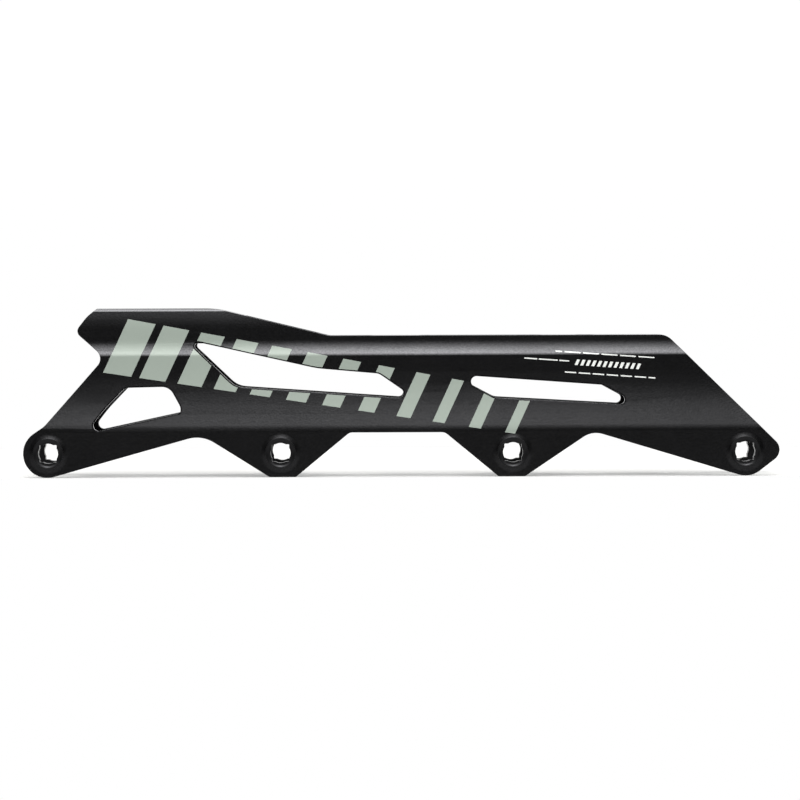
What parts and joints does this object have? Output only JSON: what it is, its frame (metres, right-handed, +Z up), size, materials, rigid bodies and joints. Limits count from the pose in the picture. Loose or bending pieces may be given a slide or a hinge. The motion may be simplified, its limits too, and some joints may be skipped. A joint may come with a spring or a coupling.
{
  "type": "inline skate frame",
  "caption": "Black extruded aluminium inline skate frame with a raised heel deck, milled side windows and flanged bushes that take the wheel axles.",
  "frame": {"origin": "centre of the rear axle's bore, midway between the two walls", "axes": "+X from heel to toe along the axles' centres, +Y across the frame along the axles, +Z up to the boot"},
  "size_m": [0.3031, 0.035, 0.0677],
  "materials": {
    "frame_aluminium": "black anodised, satin, with printed stripes",
    "bush_aluminium": "black anodised, turned"
  },
  "bodies": {
    "root": {"frame_body": "frame_aluminium", "axle_insert_1_left": "bush_aluminium", "axle_insert_1_right": "bush_aluminium", "axle_insert_2_left": "bush_aluminium", "axle_insert_2_right": "bush_aluminium", "axle_insert_3_left": "bush_aluminium", "axle_insert_3_right": "bush_aluminium", "axle_insert_4_left": "bush_aluminium", "axle_insert_4_right": "bush_aluminium"}
  },
  "joints": []
}
